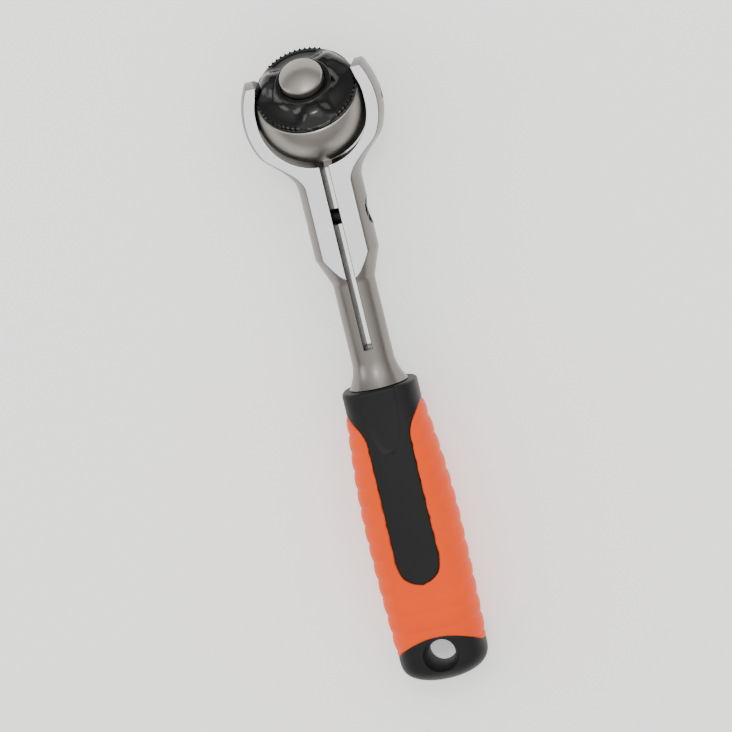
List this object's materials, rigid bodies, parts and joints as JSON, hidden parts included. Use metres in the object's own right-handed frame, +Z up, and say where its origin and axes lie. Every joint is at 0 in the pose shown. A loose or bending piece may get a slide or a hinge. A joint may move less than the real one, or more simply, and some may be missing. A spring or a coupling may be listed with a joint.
{
  "type": "flex head ratchet",
  "caption": "Hand ratchet with a ball head that flexes in a split clamping yoke, a knurled reversing dial, a quick-release button and a two-colour cushioned grip with a hanging eye.",
  "frame": {"origin": "centre of the bounding box's base, on the surface that the tool lies on", "axes": "+Y runs along the tool from grip to head, +X to the side of the clamp screw's head, +Z up; the tool lies on its drive square and its grip"},
  "size_m": [0.0436, 0.2, 0.0396],
  "materials": {
    "chrome": "satin",
    "satin_steel": "satin",
    "dark_steel": "machined",
    "spring_steel": "smooth",
    "black_oxide": "satin",
    "gloss_black": "gloss",
    "matt_black": "matt",
    "orange_rubber": "matt",
    "seal_rubber": "matt"
  },
  "bodies": {
    "handle": {"yoke_shank": "chrome", "grip_core": "matt_black", "grip_sleeve": "orange_rubber", "pivot_pin_right": "satin_steel", "pivot_pin_left": "satin_steel", "friction_washer_right": "spring_steel", "friction_washer_left": "spring_steel"},
    "clamp": {"clamp_screw": "black_oxide"},
    "head": {"head_housing": "satin_steel", "cover_plate": "dark_steel", "cover_screw_1": "black_oxide", "cover_screw_2": "black_oxide", "selector_ring": "spring_steel", "pawl_pin_left": "spring_steel", "pawl_pin_right": "spring_steel", "pawl_spring_left": "spring_steel", "pawl_spring_right": "spring_steel"},
    "drive": {"drive_spindle": "chrome", "drive_seal": "seal_rubber"},
    "dial": {"selector_disc": "dark_steel", "reversing_dial": "gloss_black", "release_spring": "spring_steel"},
    "left_pawl": {"pawl_left": "dark_steel"},
    "right_pawl": {"pawl_right": "dark_steel"},
    "button": {"release_button": "satin_steel", "release_plunger": "dark_steel"},
    "detent": {"detent_ball": "spring_steel"}
  },
  "joints": [
    {"name": "head_flex", "type": "hinge", "parent": "handle", "child": "head", "pos_m": [0, 0.08261, 0.02236], "axis": [1, 0, 0], "range_deg": [0, 270]},
    {"name": "clamp_screw_turn", "type": "hinge", "parent": "handle", "child": "clamp", "pos_m": [0, 0.04762, 0.02011], "axis": [1, 0, 0], "range_deg": [-90, 90]},
    {"name": "drive_spin", "type": "hinge", "parent": "head", "child": "drive", "pos_m": [0, 0.08261, 0.02236], "axis": [0, 0.6603, 0.751], "continuous": true},
    {"name": "dial_turn", "type": "hinge", "parent": "head", "child": "dial", "pos_m": [0, 0.08261, 0.02236], "axis": [0, 0.6603, 0.751], "range_deg": [0, 40]},
    {"name": "pawl_left_rock", "type": "hinge", "parent": "head", "child": "left_pawl", "pos_m": [-0.00339, 0.08761, 0.01396], "axis": [0, 0.6603, 0.751], "range_deg": [0, 9], "deforming": ["pawl_spring_left"]},
    {"name": "pawl_right_rock", "type": "hinge", "parent": "head", "child": "right_pawl", "pos_m": [-0.00339, 0.07364, 0.02625], "axis": [0, 0.6603, 0.751], "range_deg": [0, 9], "deforming": ["pawl_spring_right"]},
    {"name": "button_press", "type": "slide", "parent": "drive", "child": "button", "axis": [0, -0.6603, -0.751], "range_m": [0, 0.0025], "stiffness_N_per_m": 800, "springref_m": -0.001, "deforming": ["release_spring"]},
    {"name": "ball_retract", "type": "slide", "parent": "drive", "child": "detent", "axis": [0, -0.751, 0.6603], "range_m": [0, 0.0008]}
  ],
  "couplings": [
    {"joint": "pawl_left_rock", "follows": "dial_turn", "ratio": 0.225},
    {"joint": "pawl_right_rock", "follows": "dial_turn", "ratio": 0.225},
    {"joint": "ball_retract", "follows": "button_press", "ratio": 0.32}
  ]
}
